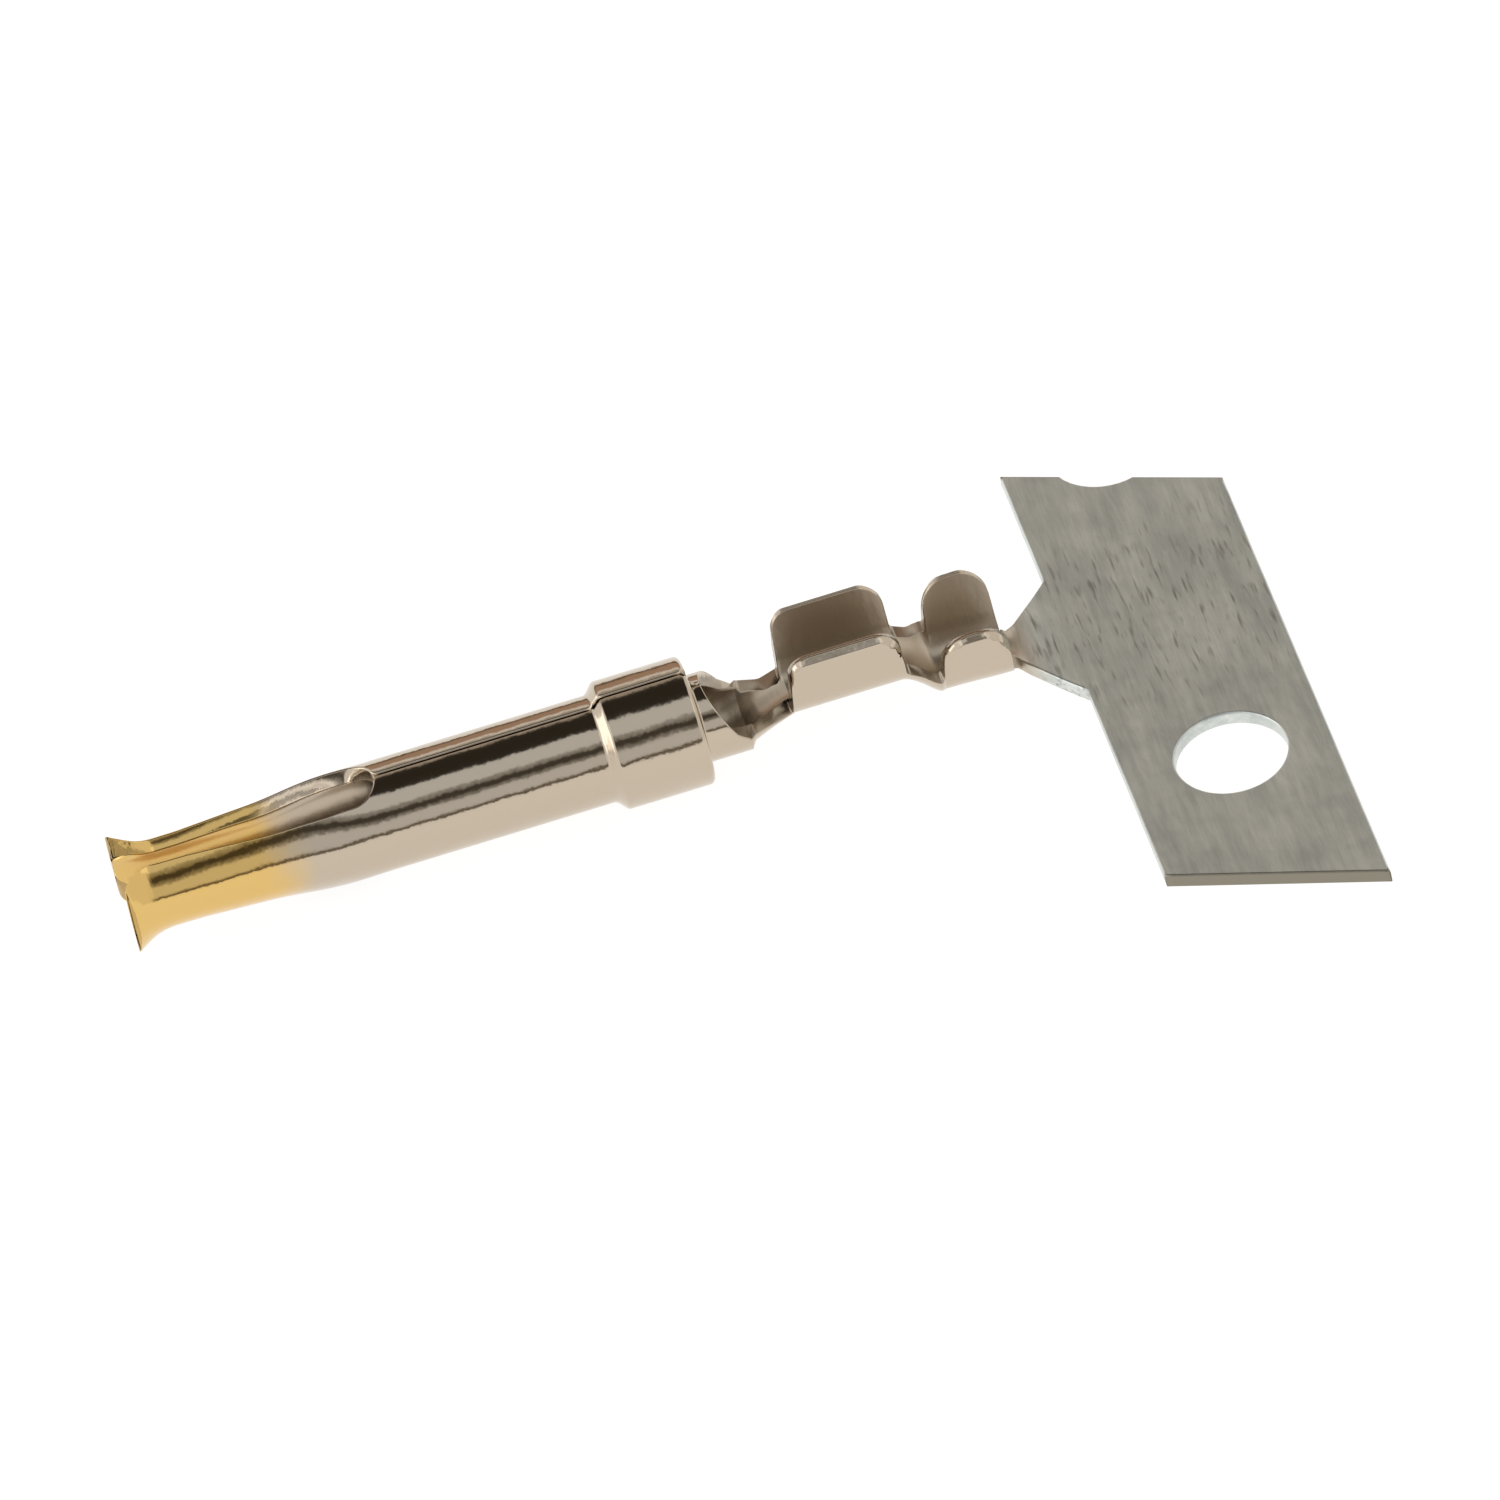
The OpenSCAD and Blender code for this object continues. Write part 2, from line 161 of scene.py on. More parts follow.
# White panels close the tent beyond both ends of the contact. Each has the X of the direction at which
# it starts and at which it is full, and its colour.
PANELS = (
    (-0.42, -0.62, "#FFFFFF"),
    (0.4, 0.56, "#F4F3F0"),
)
room = ramp
for start, full, colour in PANELS:
    share = add_node(tree, "ShaderNodeMapRange", {"Value": way.outputs["X"]},
                     interpolation_type="SMOOTHSTEP", From_Min=start, From_Max=full)
    room = add_node(tree, "ShaderNodeMixRGB", {"Fac": share.outputs[0], "Color1": room.outputs[0]},
                    Color2=linear(colour))
sky = add_node(tree, "ShaderNodeBackground", {"Color": room.outputs[0]}, Strength=1.0)
add_node(tree, "ShaderNodeOutputWorld", {"Surface": sky.outputs[0]})

MIDDLE = Vector((0.009, 0, 0))          # what the soft boxes face, halfway along the contact


def soft_box(name, azimuth, elevation, distance, size, level, colour):
    """A soft box that faces the contact. level is how bright it looks, where 1 is white."""
    lamp = bpy.data.lights.new(name, "AREA")
    lamp.shape = "RECTANGLE"
    lamp.size, lamp.size_y = size
    lamp.energy = level * math.pi * size[0] * size[1]
    lamp.color = linear(colour)[:3]
    box = bpy.data.objects.new(name, lamp)
    a, e = math.radians(azimuth), math.radians(elevation)
    out = Vector((math.sin(a) * math.cos(e), -math.cos(a) * math.cos(e), math.sin(e)))
    box.location = MIDDLE + out * distance
    box.rotation_euler = out.to_track_quat("Z", "Y").to_euler()
    bpy.context.collection.objects.link(box)


soft_box("upper_soft_box", azimuth=0, elevation=70, distance=0.6, size=(1.2, 0.30),
         level=0.33, colour="#F6F8FA")
soft_box("left_soft_box", azimuth=-97, elevation=12, distance=0.6, size=(0.5, 0.34),
         level=1.2, colour="#FFFFFF")

# Contact
#
# The contact is one piece of copper alloy sheet. A flat blank is punched out of the stock, then the
# press rolls the socket and folds the barrels, and tumbling rounds the cut edges slightly. The blank
# is laid out by distance along the sheet and distance across it from its middle, in millimetres.
STOCK_T = 0.27
# Socket: outside radii, lengths from the mouth, widths of the slots and the seam, collar, and neck.
TUBE_R, WAIST_R, MOUTH_R, COLLAR_R, NECK_R = 0.92, 0.73, 0.95, 1.10, 0.75
FLARE_LEN, GRIP_LEN, FINGER_LEN = 0.75, 0.4, 4.0
SLOT_W, SLOT_TIP_W, SLOT_MOUTH_W, SEAM_W = 0.94, 0.52, 1.24, 0.04
COLLAR_X, COLLAR_LEN, SHOULDER_LEN, COLLAR_CORNER = 8.4, 1.5, 0.16, 0.1
NECK_LEN, OPENING_X = 0.75, 0.2
# Crimp barrels: place and length, floor, top of the wings, their lean, and the radii of their corners.
WIRE_X, WIRE_LEN, WIRE_R, WIRE_FLOOR, WIRE_TOP = 11.47, 1.92, 0.7, -0.25, 1.22
WIRE_LEAN, WIRE_CORNER, WIRE_REAR_CORNER = math.radians(8), 0.36, 0.46
INSUL_X, INSUL_LEN, INSUL_R, INSUL_FLOOR, INSUL_TOP = 14.0, 1.16, 0.75, -0.72, 0.76
INSUL_LEAN, INSUL_CORNER = math.radians(14), 0.52
# Channel before, between and behind the barrels: its radius, and the heights of its upper edge.
LINK_MOUTH_R, LINK_HIGH, LINK_DIP = 0.86, 0.17, -0.14
THROAT_LOW, THROAT_HIGH, TONGUE_RIM = -0.05, 0.05, -0.64
# Wings: the sheet is pressed thinner, and coined to the rim over a bevel and a narrow band.
WING_T, BEVEL_H, RIM_T = 0.235, 0.1, 0.11
ROLL_OFF = 0.07               # width of the band along a wing's whole edge
ROLL_OFF_RISE = 0.4           # height over which the band comes in, above the centre of the floor's bend
INNER_TAPER = 0.045           # what the inside of a wing loses towards its tip
# Carrier strip: its front edge, width and height, the pilot holes, the tongue that holds the contact,
# and how far the strip's front edge reaches to its two sheared ends.
STRIP_X, STRIP_W, STRIP_TOP, PITCH = 16.17, 3.45, -0.615, 8.0
PILOT_R, PILOT_X, PILOT_Y = 0.94, 1.79, 3.86
TONGUE_W, GUSSET_W = 0.68, 2.86
NEAR_LEN, FAR_LEN = 6.2, 4.2
NEAR_SHEAR, FAR_SHEAR = math.radians(22.7), math.radians(25.1)
# Edges, and how finely the shape is described.
EDGE_R = 0.04                 # radius that punching and tumbling leave on the cut edges
WING_EDGE_R = 0.022           # the same on the coined wings
CORNER_R = 0.13               # radius on the corners of the mouth and of the seam at the slot
EDGE_STEPS = 4
STATION = 0.01                # spacing of the stations that describe the formed shape
FLAT_BEND = 0.001             # bend left in the tongue where it counts as flat
FLAT_R = 1e6                  # radius of the flat strip

COLLAR_END = COLLAR_X + COLLAR_LEN
NECK_END = COLLAR_END + NECK_LEN
WAIST_END = FLARE_LEN + GRIP_LEN
KNEE_X = FINGER_LEN * 0.55    # the fingers widen slowly up to this bend, and faster from there
KNEE_R = WAIST_R + (TUBE_R - WAIST_R) * 0.19
WIRE_END = WIRE_X + WIRE_LEN
INSUL_END = INSUL_X + INSUL_LEN
STRIP_BOTTOM = STRIP_TOP - STOCK_T
STRIP_END = STRIP_X + STRIP_W
HOLE_X = STRIP_X + PILOT_X
HEEL_X = NECK_END + 0.06      # end of the step up in the floor behind the neck
HEEL_FLOOR = -NECK_R + 0.17
THROAT_X = (HEEL_X + WIRE_X) / 2
THROAT_R = NECK_R - 0.07
DROP_X = WIRE_END - 0.09      # where the floor starts down to the insulation barrel
LINK_X = WIRE_END + 0.24      # where the channel starts to widen towards it
SPREAD_X = INSUL_X - 0.1      # where it has widened
TONGUE_FLOOR = INSUL_FLOOR - 0.05
FLAT_X = INSUL_END + 0.3      # where the tongue is flat
GUSSET_X = INSUL_END + 0.09   # where the tongue starts to widen into the strip
SLOT_END = FINGER_LEN + SLOT_W / 2


def ease(x, a, b):
    """Smooth step from 0 to 1 as x goes from a to b."""
    u = np.clip((x - a) / (b - a), 0, 1)
    return u * u * (3 - 2 * u)


def near(distance, run):
    """1 at an edge, falling to 0 at one run from it."""
    return np.clip(1 - distance / run, 0, 1) ** 2


def round_corners(points, steps=10):
    """Polyline through [x, y, radius] points, with an arc of so many steps at each inner one."""
    p = np.array([q[:2] for q in points], float)
    out = [p[0]]
    for i in range(1, len(p) - 1):
        u, v = p[i - 1] - p[i], p[i + 1] - p[i]
        u, v = u / np.linalg.norm(u), v / np.linalg.norm(v)
        half_angle = math.acos(np.clip(u @ v, -1, 1)) / 2
        radius = points[i][2]
        centre = p[i] + (u + v) / np.linalg.norm(u + v) * radius / math.sin(half_angle)
        a = p[i] + u * radius / math.tan(half_angle) - centre
        b = p[i] + v * radius / math.tan(half_angle) - centre
        turn = (math.pi - 2 * half_angle) * (1 if a[0] * b[1] > a[1] * b[0] else -1)
        for t in np.linspace(0, turn, steps + 1):
            c, s = math.cos(t), math.sin(t)
            out.append(centre + np.array([a[0] * c - a[1] * s, a[0] * s + a[1] * c]))
    out.append(p[-1])
    return np.array(out)


def divide(line, spacing):
    """The same polyline with its long stretches divided into even steps."""
    out = [line[:1]]
    for a, b in zip(line[:-1], line[1:]):
        n = max(1, math.ceil(np.linalg.norm(b - a) / spacing))
        out.append(a + (b - a) * np.arange(1, n + 1)[:, None] / n)
    return np.concatenate(out)


# Stations along the sheet: where the press puts the outside and the inside of each cross-section.
# Each holds x, the radius of the floor and its centre's height, and how far the walls lean out.
finger_x = np.arange(0, COLLAR_X - SHOULDER_LEN - 2 * COLLAR_CORNER, STATION)
finger_r = np.select(
    [finger_x < FLARE_LEN, finger_x < WAIST_END, finger_x < KNEE_X],
    [WAIST_R + (MOUTH_R - WAIST_R) * (1 - finger_x / FLARE_LEN) ** 2, WAIST_R,
     WAIST_R + (KNEE_R - WAIST_R) * (finger_x - WAIST_END) / (KNEE_X - WAIST_END)],
    KNEE_R + (TUBE_R - KNEE_R) * ease(finger_x, KNEE_X, FINGER_LEN))
SOFTEN = 31                   # stations that a bend along the fingers is spread over
padded = np.pad(finger_r, SOFTEN // 2, mode="edge")
softer = np.convolve(padded, np.ones(SOFTEN) / SOFTEN, mode="valid")
finger_r = finger_r + (softer - finger_r) * ease(finger_x, FLARE_LEN, WAIST_END)
slope = np.gradient(finger_r, finger_x)
tilt = np.sqrt(1 + slope ** 2)
fingers = np.column_stack([finger_x, finger_r, finger_x + STOCK_T * slope / tilt, finger_r - STOCK_T / tilt])

SHIFT = STOCK_T / 3           # how far the inside of the shoulder lies behind its outside
INNER_R = TUBE_R - STOCK_T
collar_out = round_corners([
    (finger_x[-1] + STATION, TUBE_R, 0),
    (COLLAR_X - SHOULDER_LEN, TUBE_R, COLLAR_CORNER),
    (COLLAR_X, COLLAR_R, COLLAR_CORNER),
    (COLLAR_END, COLLAR_R, COLLAR_CORNER),
    (COLLAR_END, NECK_R, 0.05),
    (NECK_END, NECK_R, 0)])
collar_in = round_corners([
    (finger_x[-1] + STATION, INNER_R, 0),
    (COLLAR_X - SHOULDER_LEN + SHIFT, INNER_R, COLLAR_CORNER),
    (COLLAR_X + SHIFT, COLLAR_R - STOCK_T, 0.05),
    (COLLAR_END - STOCK_T, COLLAR_R - STOCK_T, 0.05),
    (COLLAR_END - STOCK_T, NECK_R - STOCK_T, COLLAR_CORNER),
    (NECK_END, NECK_R - STOCK_T, 0)])
collar = divide(np.column_stack([collar_out, collar_in]), STATION * 2)
socket = np.concatenate([fingers, collar])
socket_l = np.concatenate([[0], np.cumsum(np.linalg.norm(np.diff(socket[:, :2], axis=0), axis=1))])
NECK_END_L = socket_l[-1]

channel_x = np.arange(NECK_END + STATION, STRIP_END + 3 * STATION, STATION)
channel_floor = np.select(
    [channel_x <= WIRE_X, channel_x <= INSUL_X, channel_x <= INSUL_END],
    [-NECK_R + (HEEL_FLOOR + NECK_R) * ease(channel_x, NECK_END - 0.02, HEEL_X + 0.03)
     + (WIRE_FLOOR - HEEL_FLOOR) * np.clip((channel_x - HEEL_X) / (WIRE_X - HEEL_X), 0, 1),
     WIRE_FLOOR + (INSUL_FLOOR - WIRE_FLOOR) * ease(channel_x, DROP_X, INSUL_X),
     INSUL_FLOOR + (TONGUE_FLOOR - INSUL_FLOOR) * ease(channel_x, INSUL_X, INSUL_END)],
    TONGUE_FLOOR + (STRIP_BOTTOM - TONGUE_FLOOR) * ease(channel_x, INSUL_END, STRIP_X - 0.03))
tongue_bend = np.maximum(FLAT_BEND, 1 - ease(channel_x, INSUL_END, FLAT_X))
channel_r = np.select(
    [channel_x <= THROAT_X, channel_x <= WIRE_X, channel_x <= SPREAD_X, channel_x <= INSUL_END,
     channel_x < STRIP_X],
    [NECK_R + (THROAT_R - NECK_R) * ease(channel_x, NECK_END, THROAT_X),
     THROAT_R + (WIRE_R - THROAT_R) * ease(channel_x, THROAT_X, WIRE_X),
     WIRE_R + (LINK_MOUTH_R - WIRE_R) * ease(channel_x, LINK_X, SPREAD_X),
     LINK_MOUTH_R + (INSUL_R - LINK_MOUTH_R) * ease(channel_x, SPREAD_X, INSUL_X),
     INSUL_R / tongue_bend ** 1.5],
    FLAT_R)
channel_lean = (WIRE_LEAN * ease(channel_x, THROAT_X, WIRE_X)
                + (INSUL_LEAN - WIRE_LEAN) * ease(channel_x, WIRE_END, INSUL_X))

station_l = np.concatenate([socket_l, NECK_END_L + channel_x - NECK_END])
outer_x = np.concatenate([socket[:, 0], channel_x])
outer_r = np.concatenate([socket[:, 1], channel_r])
inner_x = np.concatenate([socket[:, 2], channel_x])
inner_r = np.concatenate([socket[:, 3], channel_r - STOCK_T])
centre_z = np.concatenate([np.zeros(len(socket)), channel_floor + channel_r])
wall_lean = np.concatenate([np.full(len(socket), -math.pi / 2), channel_lean])

# The inside of the mouth ends flush with its outside.
flush = np.interp(0, inner_x[:len(finger_x)], socket_l[:len(finger_x)])
FLUSH_RUN = 0.6
inner_l = station_l + flush * near(station_l, FLUSH_RUN)
inner_x, inner_r = np.interp(inner_l, station_l, inner_x), np.interp(inner_l, station_l, inner_r)

# The inside of the sheet takes the bend behind the neck more gently than its outside.
HEEL_SOFT = 0.2
floor_z = centre_z - outer_r
softer_z = np.mean([np.interp(station_l + d, station_l, floor_z)
                    for d in np.linspace(-HEEL_SOFT, HEEL_SOFT, 21)], axis=0)
at_heel = (outer_x > COLLAR_END + HEEL_SOFT + 0.05) & (outer_x < WIRE_X - HEEL_SOFT - 0.05)
inner_centre_z = np.where(at_heel, softer_z + outer_r, centre_z)


def at(l, values):
    """The stations' values at a distance l along the sheet."""
    return np.interp(l, station_l, values)


def l_at(x):
    """Distance along the sheet to x, for any x that isn't on the collar's rear face."""
    return np.interp(x, outer_x, station_l)


# Half width of the slots in plan, and the upper edge of the channel in side view.
slot_sides = round_corners([
    (-0.1, SLOT_MOUTH_W / 2 + 0.08, 0),
    (FLARE_LEN * 0.6, SLOT_TIP_W / 2, 0.4),
    (WAIST_END, SLOT_TIP_W / 2 + 0.01, 0.4),
    (FINGER_LEN * 0.88, SLOT_W / 2, 0.6),
    (FINGER_LEN, SLOT_W / 2, 0)])
slot_round = [(FINGER_LEN + SLOT_W / 2 * math.sin(t), SLOT_W / 2 * math.cos(t))
              for t in np.linspace(0.05, math.pi / 2, 24)]
slot_plan = np.concatenate([slot_sides, slot_round])
rim_line = round_corners([
    (HEEL_X, THROAT_LOW, 0),
    (THROAT_X, -0.06, 0.3),
    (WIRE_X - 0.05, THROAT_HIGH, 0.06),
    (WIRE_X + 0.03, WIRE_TOP, WIRE_CORNER),
    (WIRE_END - 0.01, WIRE_TOP, WIRE_REAR_CORNER),
    (WIRE_END + 0.01, LINK_HIGH, 0.16),
    (LINK_X + 0.08, LINK_HIGH - 0.19, 0.5),
    (INSUL_X - 0.035, LINK_DIP, 0.09),
    (INSUL_X + 0.06, INSUL_TOP, INSUL_CORNER),
    (INSUL_END - 0.02, INSUL_TOP, INSUL_CORNER),
    (INSUL_END, TONGUE_RIM, 0)])
OPENING_FOOT = (NECK_END - 0.12, -0.09)
opening_top_x = COLLAR_END + OPENING_X
rim_x = np.concatenate([[opening_top_x, OPENING_FOOT[0]], rim_line[:, 0]])
rim_z = np.concatenate([[NECK_R, OPENING_FOOT[1]], rim_line[:, 1]])


def slot_half(x):
    """Half width of a slot in plan."""
    return np.where(x < SLOT_END, np.interp(x, slot_plan[:, 0], slot_plan[:, 1]), 0)


# The upper slot runs into the seam over two rounded corners.
seam_corner_y = SEAM_W / 2 + CORNER_R
seam_corner_x = FINGER_LEN + math.sqrt((SLOT_W / 2 + CORNER_R) ** 2 - seam_corner_y ** 2)
seam_corner_start = FINGER_LEN + (seam_corner_x - FINGER_LEN) * SLOT_W / 2 / (SLOT_W / 2 + CORNER_R)


def upper_half(x):
    """Half width of the opening along the top of the socket: the slot, its rounded corners, then the seam."""
    reach = np.clip(seam_corner_x - x, 0, CORNER_R)
    corner = seam_corner_y - np.sqrt(CORNER_R ** 2 - reach ** 2)
    return np.where(x < seam_corner_start, np.maximum(slot_half(x), SEAM_W / 2), corner)


def tongue_half(x):
    """Half width of the tongue in plan, which widens into the strip."""
    return TONGUE_W / 2 + (GUSSET_W - TONGUE_W) / 2 * np.clip((x - GUSSET_X) / (STRIP_X - GUSSET_X), 0, 1)


def corner_inset(distance):
    """How far the mouth's rounded corners stand back from the edge of a slot, at a distance from the mouth."""
    left = np.clip(CORNER_R - distance, 0, CORNER_R)
    return CORNER_R - np.sqrt(CORNER_R ** 2 - left ** 2)


def face_at(l, inside):
    """Distance from the mouth and radius of the outside or the inside of the sheet."""
    return (at(l, inner_x), at(l, inner_r)) if inside else (at(l, outer_x), at(l, outer_r))


def edge_across(l, inside):
    """Distance across the sheet to its free edge, for the outside or the inside of the sheet."""
    x, r = face_at(l, inside)
    whole_r, centre, lean = at(l, outer_r), at(l, centre_z), at(l, wall_lean)
    z = np.interp(x, rim_x, rim_z)
    rolled = math.pi - np.arcsin(np.clip(upper_half(x) / r, 0, 1))
    cut_down = np.arccos(np.clip((centre - z) / r, -1, 1))
    touch = centre - r * np.sin(lean)
    wall = (z - touch) / np.cos(np.maximum(lean, 0))
    folded = np.where(z > touch, math.pi / 2 - lean + wall / whole_r, cut_down)
    spread = np.arcsin(np.clip(tongue_half(x) / r, 0, 1))
    angle = np.select(
        [x < opening_top_x, x < NECK_END, x < INSUL_END + STATION / 2],
        [rolled, np.minimum(rolled, cut_down), folded],
        spread)
    return angle * whole_r - corner_inset(l)


def slot_across(l, inside):
    """Distance across the sheet to the edge of the lower slot."""
    x, r = face_at(l, inside)
    return np.arcsin(np.clip(slot_half(x) / r, 0, 1)) * at(l, outer_r) + corner_inset(l)


def rim_distance(x, z):
    """How far points of the side view lie from the upper edge of the channel."""
    found = np.full(len(x), np.inf)
    for a, b in zip(rim_line[:-1], rim_line[1:]):
        way = b - a
        t = np.clip(((x - a[0]) * way[0] + (z - a[1]) * way[1]) / max(way @ way, 1e-12), 0, 1)
        found = np.minimum(found, np.hypot(x - a[0] - way[0] * t, z - a[1] - way[1] * t))
    return found


def thin_wings(l, s, outside, inside):
    """Move the faces of the wings towards each other by what pressing and coining take."""
    centre, lean = at(l, centre_z), at(l, wall_lean)
    x, z = outside[:, 0], outside[:, 2]
    tip = np.where(x < (WIRE_END + INSUL_X) / 2, WIRE_TOP, INSUL_TOP)
    foot = tip - BEVEL_H
    on_wing = (s / at(l, outer_r) > math.pi / 2 - lean) & (l > l_at(WIRE_X) - 0.1) & (l < l_at(INSUL_END))
    pressed = (STOCK_T - WING_T) * np.clip((z - centre) / (foot - centre), 0, 1)
    bevel = np.clip((z - foot) / BEVEL_H, 0, 1)
    band = np.clip(1 - rim_distance(x, z) / ROLL_OFF, 0, 1) * ease(z, centre, centre + ROLL_OFF_RISE)
    coined = (WING_T - RIM_T) * np.maximum(bevel, band)
    tapered = INNER_TAPER * np.clip((inside[:, 2] - centre) / (tip - centre), 0, 1)
    outside[:, 1] -= np.where(on_wing, pressed + coined, 0) / np.cos(lean)
    inside[:, 1] += np.where(on_wing, tapered, 0)


EDGE_RUN = 0.8                # distance over which the inside follows a cut that isn't square to it
EDGE_SHARE = 0.9              # the same as a share of the sheet's half width, where that is less
SPRING_BACK = 0.06            # how far the fingers' free edges stay open after rolling
SPRING_RUN = 0.5              # how far in from those edges the sheet is still bent open
SPRING_X = FINGER_LEN * 0.75  # where that starts to ease out towards the slots' ends
INSIDE_FACE = -1e-9           # depth that stands for the inside, from which a negative depth is measured


def form(l, s, depth):
    """Places in the formed contact of points l along, s across and depth below the outside of the sheet."""
    side, s = np.where(s < 0, -1, 1), np.abs(s)
    edge, slot = edge_across(l, False), slot_across(l, False)
    at_edge = near(edge - s, np.minimum(EDGE_RUN, edge * EDGE_SHARE))
    at_slot = np.where(slot > 0, near(s - slot, EDGE_RUN), 0)
    shift = (edge_across(l, True) - edge) * at_edge + (slot_across(l, True) - slot) * at_slot
    # The neck's opening and the strip are cut square to the sheet.
    square = (l > l_at(opening_top_x) - 0.05) & (l < l_at(HEEL_X)) | (l > l_at(STRIP_X))
    shift = np.where(square, 0, shift)
    from_edge = np.minimum(edge - s, np.where(slot > 0, s - slot, SPRING_RUN))
    open_by = SPRING_BACK * near(from_edge, SPRING_RUN) * (1 - ease(l, l_at(SPRING_X), l_at(SLOT_END)))
    whole_r, lean = at(l, outer_r), at(l, wall_lean)
    faces = []
    for across, x, r, centre in (
            (s, at(l, outer_x), whole_r, at(l, centre_z)),
            (s + shift, at(l, inner_x), at(l, inner_r), at(l, inner_centre_z))):
        angle = np.minimum(across / whole_r, math.pi / 2 - lean)
        wall = across - angle * whole_r
        y = (r + open_by) * np.sin(angle) + wall * np.sin(lean)
        z = centre - (r + open_by) * np.cos(angle) + wall * np.cos(lean)
        faces.append(np.column_stack([x, y, z]))
    outside, inside = faces
    thin_wings(l, s, outside, inside)
    through = inside - outside
    thickness = np.maximum(np.linalg.norm(through, axis=1), 1e-6)
    depth = np.where(depth >= 0, depth, thickness + depth)
    place = outside + through * (depth / thickness)[:, None]
    place[:, 1] *= side
    return place


PROBE = 0.003                 # step that measures the slope of the formed sheet


def normals(l, s, depth):
    """Outward unit normals of the face of the sheet that the depth belongs to."""
    across = form(l, s + PROBE, depth) - form(l, s - PROBE, depth)
    along = form(l + PROBE, s, depth) - form(l - PROBE, s, depth)
    up = np.cross(across, along)
    return up / np.maximum(np.linalg.norm(up, axis=1), 1e-12)[:, None] * np.where(depth < 0, -1, 1)[:, None]


# Outline of the blank, once round, with the metal on its left.
OUTLINE_STEP = 0.05
OPENING_LOW = math.pi * 0.53  # angle round the neck, from its floor, where its opening meets the channel
opening_angle = np.linspace(math.pi - SEAM_W / 2 / NECK_R, OPENING_LOW, 24)
opening_slant = (OPENING_FOOT[0] - opening_top_x) / (NECK_R - OPENING_FOOT[1])
opening_x = opening_top_x + (NECK_R + NECK_R * np.cos(opening_angle)) * opening_slant
collar_l = np.arange(l_at(SLOT_END), l_at(opening_top_x), 2 * OUTLINE_STEP)[1:]
slot_x = divide(slot_plan[slot_plan[:, 0] > 0], OUTLINE_STEP)[:, 0]
channel_rim_x = divide(rim_line, OUTLINE_STEP)[:, 0]
tongue_x = np.concatenate([np.linspace(INSUL_END + 0.02, GUSSET_X, 3), np.linspace(GUSSET_X, STRIP_X, 20)[1:]])
edge_l = np.concatenate([[0], l_at(slot_x), collar_l, l_at(opening_x), l_at(channel_rim_x), l_at(tongue_x)])
corner_l = CORNER_R * (1 - np.cos(np.linspace(0, math.pi / 2, 9)))
seam_turn = math.asin((seam_corner_x - seam_corner_start) / CORNER_R)
seam_x = seam_corner_x - CORNER_R * np.sin(np.linspace(0, seam_turn, 9))
edge_l = edge_l[(edge_l < l_at(seam_corner_start)) | (edge_l > l_at(seam_corner_x))]
edge_l = np.unique(np.concatenate([edge_l, corner_l, l_at(seam_x)]).round(5))
far_edge = np.column_stack([edge_l, edge_across(edge_l, False)])
strip_l = l_at(STRIP_X)


def strip_place(x, y):
    """Place in the blank of a point of the flat strip."""
    return np.array([strip_l + x - STRIP_X, y])


def pilot_place(centre, turn):
    """Place in the blank of the point that lies at an angle round a pilot hole."""
    return centre + PILOT_R * np.array([math.cos(turn), math.sin(turn)])


# The far end is sheared through the next pilot hole, which leaves a notch.
far_start = strip_place(STRIP_X, FAR_LEN)
far_way = np.array([1, -math.tan(FAR_SHEAR)]) * math.cos(FAR_SHEAR)
notch_centre = strip_place(HOLE_X, PITCH - PILOT_Y)
along = (notch_centre - far_start) @ far_way
aside = np.linalg.norm(notch_centre - far_start - far_way * along)
half_chord = math.sqrt(PILOT_R ** 2 - aside ** 2)
chord = [far_start + far_way * (along + k * half_chord) for k in (1, -1)]
notch_turns = [math.atan2(*(c - notch_centre)[::-1]) for c in chord]
notch = [pilot_place(notch_centre, a) for a in np.linspace(*notch_turns, 12)]
near_start = strip_place(STRIP_X, -NEAR_LEN)
near_end = strip_place(STRIP_END, -NEAR_LEN - STRIP_W * math.tan(NEAR_SHEAR))
far_end = strip_place(STRIP_END, FAR_LEN - STRIP_W * math.tan(FAR_SHEAR))
slot_l = np.unique(np.concatenate([corner_l, l_at(slot_x), [l_at(SLOT_END)]]).round(5))
slot_edge = np.column_stack([slot_l, slot_across(slot_l, False)])
outline = np.concatenate([
    far_edge * (1, -1), [near_start, near_end, far_end, *notch, far_start], far_edge[::-1],
    slot_edge, slot_edge[::-1][1:] * (1, -1)])
apart = np.linalg.norm(outline - np.roll(outline, 1, axis=0), axis=1) > 1e-4
outline = divide(outline[apart], 0.12)
hole_centre = strip_place(HOLE_X, -PILOT_Y)
hole = np.array([pilot_place(hole_centre, -a) for a in np.linspace(0, math.tau, 97)[:-1]])


def into_metal(loop):
    """For each point of a closed outline, the step that takes it one unit into the metal on its left."""
    way = np.roll(loop, -1, axis=0) - loop
    way /= np.linalg.norm(way, axis=1)[:, None]
    left = np.column_stack([-way[:, 1], way[:, 0]])
    both = left + np.roll(left, 1, axis=0)
    both /= np.linalg.norm(both, axis=1)[:, None]
    return both / np.maximum(0.5, (both * left).sum(axis=1))[:, None]


def on_line(points, a, b):
    """1 for each point that lies on the line from a to b, and 0 for the others."""
    way = (b - a) / np.linalg.norm(b - a)
    off = points - a
    return (np.abs(off[:, 0] * way[1] - off[:, 1] * way[0]) < 1e-3).astype(float)


def inside_loop(points, loop):
    """Whether each point lies inside a closed outline."""
    found = np.zeros(len(points), bool)
    for a, b in zip(loop, np.roll(loop, -1, axis=0)):
        crosses = (a[1] > points[:, 1]) != (b[1] > points[:, 1])
        if a[1] != b[1]:
            found ^= crosses & (points[:, 0] < a[0] + (points[:, 1] - a[1]) * (b[0] - a[0]) / (b[1] - a[1]))
    return found


